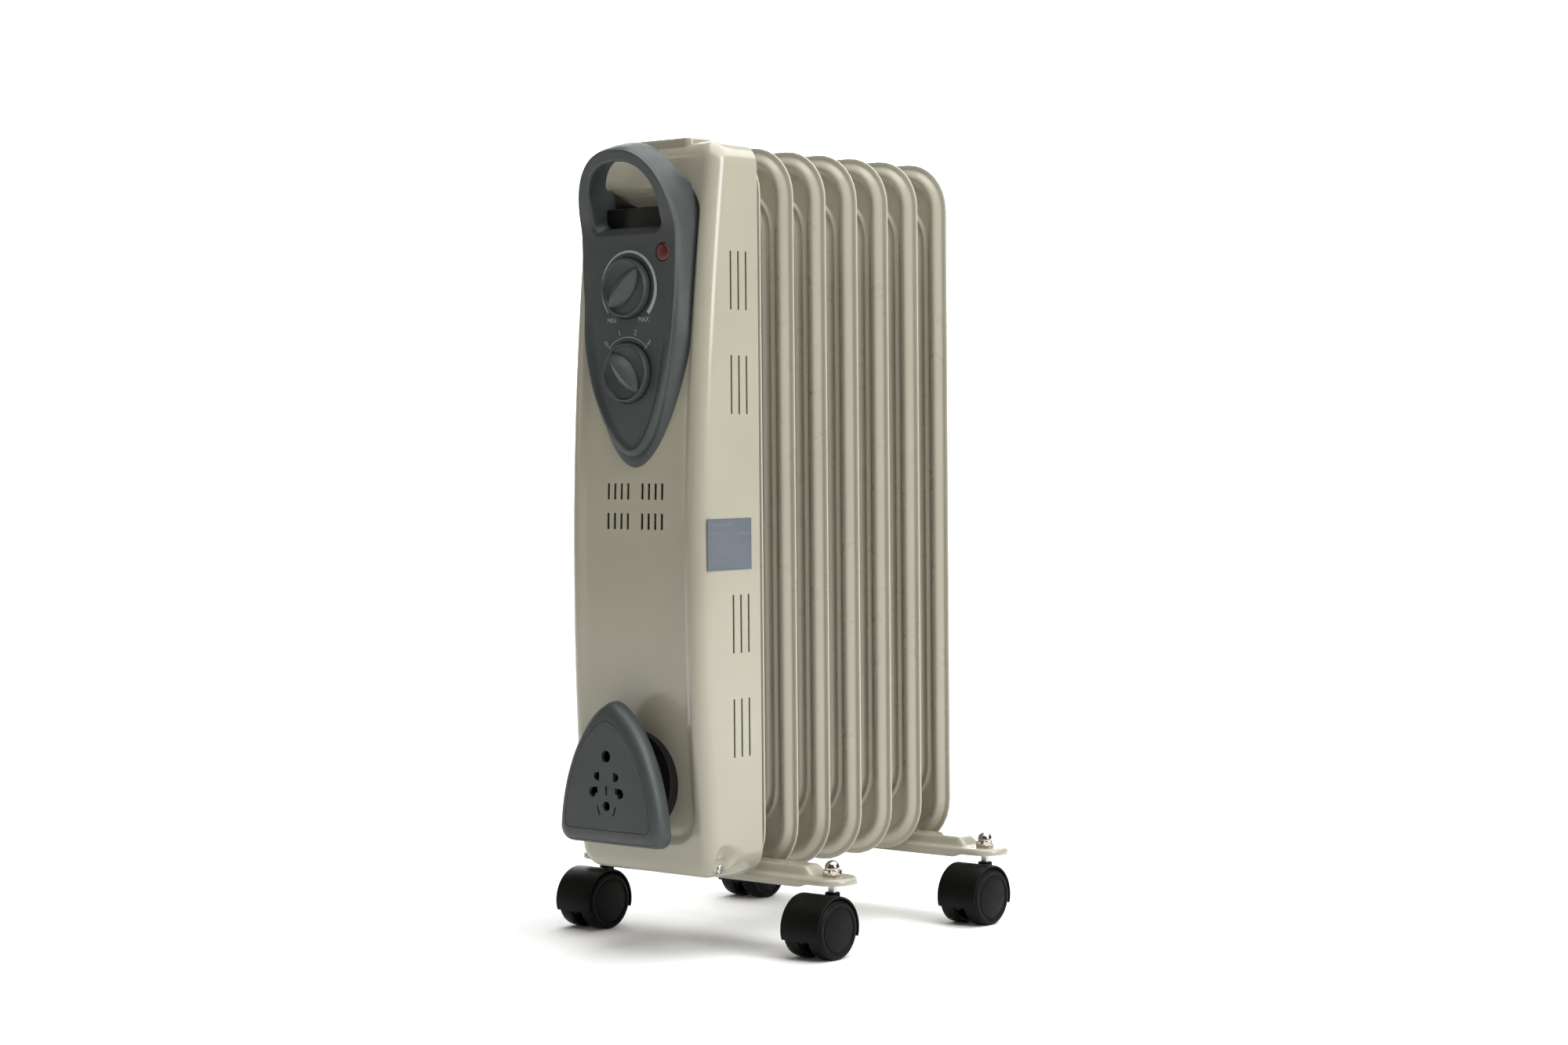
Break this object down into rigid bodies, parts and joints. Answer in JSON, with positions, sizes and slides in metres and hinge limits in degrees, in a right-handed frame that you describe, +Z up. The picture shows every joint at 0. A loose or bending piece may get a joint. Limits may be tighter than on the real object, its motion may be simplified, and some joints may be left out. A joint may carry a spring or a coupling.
{
  "type": "oil filled radiator heater",
  "caption": "Free-standing oil filled radiator heater: flat pressed oil fins behind a slim control casing with a carrying handle, a cord winder, and leg brackets on twin-wheel casters.",
  "frame": {"origin": "centre of the footprint, on the floor under the wheels", "axes": "+X to the side with the rating label, -Y to the front with the controls, +Z up"},
  "size_m": [0.2416, 0.3082, 0.5498],
  "materials": {
    "fin_paint": "semi-gloss beige enamel",
    "casing_paint": "gloss beige enamel",
    "panel_plastic": "fine-textured dark grey moulding",
    "dark_plastic": "black moulding",
    "caster_plastic": "black nylon",
    "nickel": "polished nickel plate",
    "zinc_steel": "bright zinc plate",
    "element_steel": "heat-tinted steel tube",
    "switch_plastic": "cream heat-proof moulding",
    "lens_red": "clear red lens",
    "wire_sheath": "silicone wire sheath",
    "label_foil": "satin silver foil"
  },
  "bodies": {
    "radiator": {"fin_1": "fin_paint", "fin_2": "fin_paint", "fin_3": "fin_paint", "fin_4": "fin_paint", "fin_5": "fin_paint", "fin_6": "fin_paint", "fin_7": "fin_paint", "heating_element": "element_steel", "element_flange": "zinc_steel", "oil_filler_plug": "zinc_steel", "casing_shell": "casing_paint", "casing_back_plate": "zinc_steel", "casing_screws": "zinc_steel", "rating_label": "label_foil", "control_panel": "panel_plastic", "control_panel_back": "dark_plastic", "panel_screws": "zinc_steel", "thermostat_body": "switch_plastic", "selector_switch_body": "switch_plastic", "indicator_lens": "lens_red", "indicator_body": "switch_plastic", "thermal_cutout": "switch_plastic", "terminal_block": "switch_plastic", "earth_tag": "zinc_steel", "internal_wires": "wire_sheath", "reel_front_plate": "panel_plastic", "reel_hub": "dark_plastic", "reel_rear_flange": "dark_plastic", "cord_gland": "dark_plastic", "leg_front": "casing_paint", "leg_rear": "casing_paint", "leg_u_bolts": "zinc_steel", "leg_u_nuts": "zinc_steel", "caster_cap_nuts": "nickel", "stem_front_left": "zinc_steel", "stem_front_right": "zinc_steel", "stem_rear_left": "zinc_steel", "stem_rear_right": "zinc_steel"},
    "thermostat_control": {"thermostat_spindle": "zinc_steel", "thermostat_knob": "panel_plastic"},
    "selector_control": {"selector_spindle": "zinc_steel", "selector_knob": "panel_plastic"},
    "swivel_front_left": {"hood_front_left": "caster_plastic", "axle_front_left": "zinc_steel"},
    "roller_front_left_left": {"wheel_front_left_left": "caster_plastic"},
    "roller_front_left_right": {"wheel_front_left_right": "caster_plastic"},
    "swivel_front_right": {"hood_front_right": "caster_plastic", "axle_front_right": "zinc_steel"},
    "roller_front_right_left": {"wheel_front_right_left": "caster_plastic"},
    "roller_front_right_right": {"wheel_front_right_right": "caster_plastic"},
    "swivel_rear_left": {"hood_rear_left": "caster_plastic", "axle_rear_left": "zinc_steel"},
    "roller_rear_left_left": {"wheel_rear_left_left": "caster_plastic"},
    "roller_rear_left_right": {"wheel_rear_left_right": "caster_plastic"},
    "swivel_rear_right": {"hood_rear_right": "caster_plastic", "axle_rear_right": "zinc_steel"},
    "roller_rear_right_left": {"wheel_rear_right_left": "caster_plastic"},
    "roller_rear_right_right": {"wheel_rear_right_right": "caster_plastic"}
  },
  "joints": [
    {"name": "thermostat_turn", "type": "hinge", "parent": "radiator", "child": "thermostat_control", "pos_m": [0, -0.13135, 0.44935], "axis": [0, 1, 0], "range_deg": [0, 270]},
    {"name": "selector_turn", "type": "hinge", "parent": "radiator", "child": "selector_control", "pos_m": [0, -0.13135, 0.39275], "axis": [0, 1, 0], "range_deg": [0, 90]},
    {"name": "swivel_front_left_turn", "type": "hinge", "parent": "radiator", "child": "swivel_front_left", "pos_m": [-0.104, -0.04385, 0.03], "axis": [0, 0, 1], "continuous": true},
    {"name": "roller_front_left_left_spin", "type": "hinge", "parent": "swivel_front_left", "child": "roller_front_left_left", "pos_m": [-0.104, -0.05765, 0.02], "axis": [1, 0, 0], "continuous": true},
    {"name": "roller_front_left_right_spin", "type": "hinge", "parent": "swivel_front_left", "child": "roller_front_left_right", "pos_m": [-0.104, -0.05765, 0.02], "axis": [1, 0, 0], "continuous": true},
    {"name": "swivel_front_right_turn", "type": "hinge", "parent": "radiator", "child": "swivel_front_right", "pos_m": [0.104, -0.04385, 0.03], "axis": [0, 0, 1], "continuous": true},
    {"name": "roller_front_right_left_spin", "type": "hinge", "parent": "swivel_front_right", "child": "roller_front_right_left", "pos_m": [0.104, -0.05765, 0.02], "axis": [1, 0, 0], "continuous": true},
    {"name": "roller_front_right_right_spin", "type": "hinge", "parent": "swivel_front_right", "child": "roller_front_right_right", "pos_m": [0.104, -0.05765, 0.02], "axis": [1, 0, 0], "continuous": true},
    {"name": "swivel_rear_left_turn", "type": "hinge", "parent": "radiator", "child": "swivel_rear_left", "pos_m": [-0.104, 0.13115, 0.03], "axis": [0, 0, 1], "continuous": true},
    {"name": "roller_rear_left_left_spin", "type": "hinge", "parent": "swivel_rear_left", "child": "roller_rear_left_left", "pos_m": [-0.104, 0.11735, 0.02], "axis": [1, 0, 0], "continuous": true},
    {"name": "roller_rear_left_right_spin", "type": "hinge", "parent": "swivel_rear_left", "child": "roller_rear_left_right", "pos_m": [-0.104, 0.11735, 0.02], "axis": [1, 0, 0], "continuous": true},
    {"name": "swivel_rear_right_turn", "type": "hinge", "parent": "radiator", "child": "swivel_rear_right", "pos_m": [0.104, 0.13115, 0.03], "axis": [0, 0, 1], "continuous": true},
    {"name": "roller_rear_right_left_spin", "type": "hinge", "parent": "swivel_rear_right", "child": "roller_rear_right_left", "pos_m": [0.104, 0.11735, 0.02], "axis": [1, 0, 0], "continuous": true},
    {"name": "roller_rear_right_right_spin", "type": "hinge", "parent": "swivel_rear_right", "child": "roller_rear_right_right", "pos_m": [0.104, 0.11735, 0.02], "axis": [1, 0, 0], "continuous": true}
  ]
}
